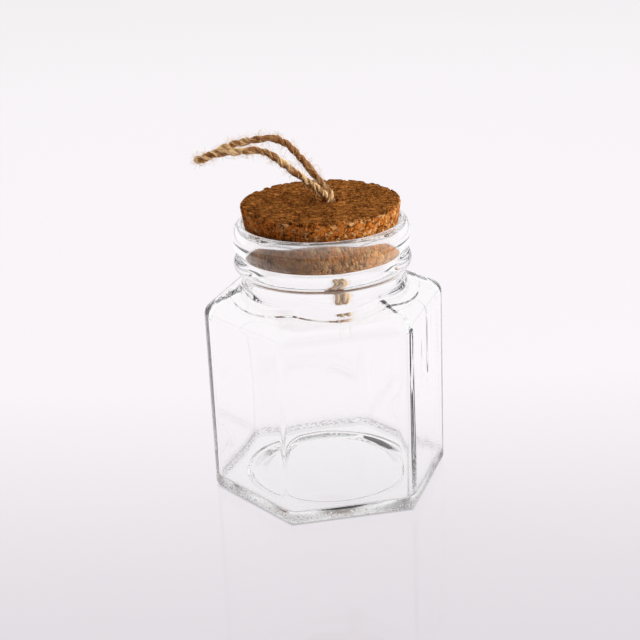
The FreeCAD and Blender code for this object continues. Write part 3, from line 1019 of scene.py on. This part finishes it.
def add_floor(stage):
    """Broad glossy floor, white behind the jar and light grey in front as painted shade, with other tones,
    painted shade among them, in the glass.
    """
    reach = 4.0
    level = -0.00005
    verts = [(-reach, -reach, level), (reach, -reach, level), (reach, reach, level), (-reach, reach, level)]
    material, tree, shader = new_material("pale_floor")
    place = object_place(tree)
    across, back, _ = axes(stretched(place, (1.0, 1.0, 1.0), (0.0, 0.0, -CAMERA_AZIMUTH)))
    # Painted shade: the floor goes greyer towards the front, standing for less light there
    near = largest(fading(back, *FLOOR_TURN), fading(back, *FLOOR_LAST))
    tone = blend(near, stage.floor_far, stage.floor_near_painted_shade)
    plug(shader, {"Base Color": tone, "Roughness": 1.0, "Specular IOR Level": 0.0})
    path = tree.nodes.new("ShaderNodeLightPath").outputs
    bent = largest(path["Is Glossy Ray"], path["Is Transmission Ray"])
    seen = largest(path["Is Camera Ray"], bent)
    ended = largest(
        fading(back, -FLOOR_FRONT, -FLOOR_FADE * FLOOR_FRONT),
        between(across, FLOOR_FADE * FLOOR_RIGHT, FLOOR_RIGHT),
        fading(across, -FLOOR_LEFT, -FLOOR_FADE * FLOOR_LEFT))
    # Painted shade: the floor below and in front is painted grey as the glass shows it
    in_glass = blend(fading(back, *UNDER_ENDS), stage.floor_bent, stage.floor_under_painted_shade)
    in_glass = blend(ended, in_glass, STUDIO_DARK)
    shown = blend(bent, tone, in_glass)
    half = (GLASS_BOX[1].y - GLASS_BOX[0].y) / 2
    past = maths("SUBTRACT", six_sided(place), half - stage.contact)
    shade = fading(maths("ABSOLUTE", past), 0.0, stage.contact, stage.contact_shade)
    shade = times(shade, fading(back, *CONTACT_ENDS))
    shown = blend(shade, shown, CONTACT_TONE)
    glow = linked("ShaderNodeEmission", {"Color": shown})
    mixed = mix_shaders(times(seen, stage.own_light), shader.outputs[0], glow.outputs[0])
    skin = add_node(tree, "ShaderNodeBsdfGlossy", {"Roughness": 0.02})
    shine = add_node(tree, "ShaderNodeFresnel", {"IOR": 1.3})
    mirror = times(shine.outputs[0], path["Is Camera Ray"])
    polished = mix_shaders(mirror, mixed, skin.outputs[0])
    plug(tree.nodes["Material Output"], {"Surface": polished})
    floor = new_piece("studio_floor", verts, [(0, 1, 2, 3)], material, smooth=False)


def add_light(scene, stage):
    """Surround that looks white and lights dimly, dark parts that only glass shows, and two soft lamps."""
    world = bpy.data.worlds.new("studio")
    world.use_nodes = True
    tree = world.node_tree
    scene.world = world
    ahead = tree.nodes.new("ShaderNodeTexCoord").outputs["Generated"]
    path = tree.nodes.new("ShaderNodeLightPath").outputs
    through = maths("GREATER_THAN", path["Transmission Depth"], 0.5)
    in_glass = WHITE
    for direction, edge, core in DARK_AIMS:
        aim = along(ahead, Vector(direction).normalized())
        opening = times(between(aim, edge, core), through)
        in_glass = blend(opening, in_glass, STUDIO_DARK)
    bent = largest(path["Is Glossy Ray"], path["Is Transmission Ray"])
    plain = blend(path["Is Camera Ray"], stage.fill, WHITE)
    plug(tree.nodes["Background"], {"Color": blend(bent, plain, in_glass)})
    for name, place, size, power in LAMPS:
        data = bpy.data.lights.new(name, "AREA")
        data.shape = "SQUARE"
        data.size = size
        data.energy = power
        lamp = new_object(name, data)
        lamp.location = place
        lamp.rotation_euler = (Vector(LAMP_AIM) - Vector(place)).to_track_quat("-Z", "Y").to_euler()
        lamp.visible_glossy = False
        lamp.visible_transmission = False


class JARLOOKS_OT_twine(bpy.types.Operator):
    """Loop, knot and cut ends of the jute twine, with its fuzz"""
    bl_idname = "jarlooks.twine"
    bl_label = "Lay the twine"

    def execute(self, context):
        twine = context.scene.jar_twine
        tint = jute_tint()
        jute = jute_material("jute_twine", tint, twine.pale, twine.deep, True, twine.stain)
        hairs = jute_material("jute_hairs", tint, twine.pale, twine.deep, False)
        # Painted light: the cut ends in the glass get paler copies of the jute colours
        cut_jute_painted_light = jute_material("jute_cut_painted_light", tint, twine.cut_pale_painted_light, twine.cut_deep_painted_light, True)
        cut_hairs_painted_light = jute_material("jute_cut_hairs_painted_light", tint, twine.cut_pale_painted_light, twine.cut_deep_painted_light, False)
        path = smooth_line(LOOP_ROUTE)
        loop = make_twine_piece("jute_loop", [path], twine, jute, twine.pitch)
        knot = make_twine_piece("jute_knot", [smooth_line(knot_route())], twine, jute, twine.pitch)
        tails = [smooth_line(route) for route in TAIL_ROUTES]
        ends = make_twine_piece("jute_ends", tails, twine, cut_jute_painted_light, twine.cut_pitch, twine.fray)
        tree = fuzz_nodes()
        fuzz = []
        for name, source, density, finish in (
                ("jute_fuzz", loop, LOOP_FUZZ, hairs), ("jute_end_fuzz", ends, END_FUZZ, cut_hairs_painted_light)):
            piece = new_object(name, source.data.copy())
            bake_nodes(piece, tree, {
                "Density": density, "Hair": twine.hair, "Radius": twine.hair_radius, "Seed": FUZZ_SEED,
                "Jute": finish})
            fuzz.append(piece)
        pieces = [(loop, "twine_loop"), (knot, "twine_knot"), (ends, "twine_tails")]
        for piece, node in pieces + [(piece, None) for piece in fuzz]:
            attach(piece, "twine")
            if node:
                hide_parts(node)
        return {"FINISHED"}


class JARLOOKS_OT_glass(bpy.types.Operator):
    """Six-sided jar of clear glass"""
    bl_idname = "jarlooks.glass"
    bl_label = "Blow the jar"

    def execute(self, context):
        piece = make_glass(context.scene.jar_glass)
        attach(piece, "jar")
        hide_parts("glass_jar")
        return {"FINISHED"}


class JARLOOKS_OT_cork(bpy.types.Operator):
    """Tapered stopper of pressed cork"""
    bl_idname = "jarlooks.cork"
    bl_label = "Press the cork"

    def execute(self, context):
        piece = make_cork(context.scene.jar_cork)
        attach(piece, "cork")
        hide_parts("cork_stopper")
        return {"FINISHED"}


class JARLOOKS_PT_panel(bpy.types.Panel):
    """Lists the steps that dress the jar"""
    bl_idname = "JARLOOKS_PT_panel"
    bl_label = "Corked jar"
    bl_space_type = "VIEW_3D"
    bl_region_type = "UI"
    bl_category = "Corked jar"

    def draw(self, context):
        for step in STEPS:
            self.layout.operator(step.bl_idname)


STEPS = (JARLOOKS_OT_stage, JARLOOKS_OT_twine, JARLOOKS_OT_glass, JARLOOKS_OT_cork)
GROUPS = {
    "jar_stage": JarStageSizes,
    "jar_twine": JarTwineSizes,
    "jar_glass": JarGlassSizes,
    "jar_cork": JarCorkSizes,
}


def register():
    """Register the property groups, operators and panel."""
    for name, group in GROUPS.items():
        bpy.utils.register_class(group)
        setattr(bpy.types.Scene, name, bpy.props.PointerProperty(type=group))
    for step in STEPS:
        bpy.utils.register_class(step)
    bpy.utils.register_class(JARLOOKS_PT_panel)


def unregister():
    """Take away all that register adds."""
    bpy.utils.unregister_class(JARLOOKS_PT_panel)
    for step in reversed(STEPS):
        bpy.utils.unregister_class(step)
    for name, group in GROUPS.items():
        delattr(bpy.types.Scene, name)
        bpy.utils.unregister_class(group)


def main():
    """Dress the jar."""
    register()
    bpy.ops.jarlooks.stage()
    bpy.ops.jarlooks.twine()
    bpy.ops.jarlooks.glass()
    bpy.ops.jarlooks.cork()


if __name__ == "__main__":
    main()
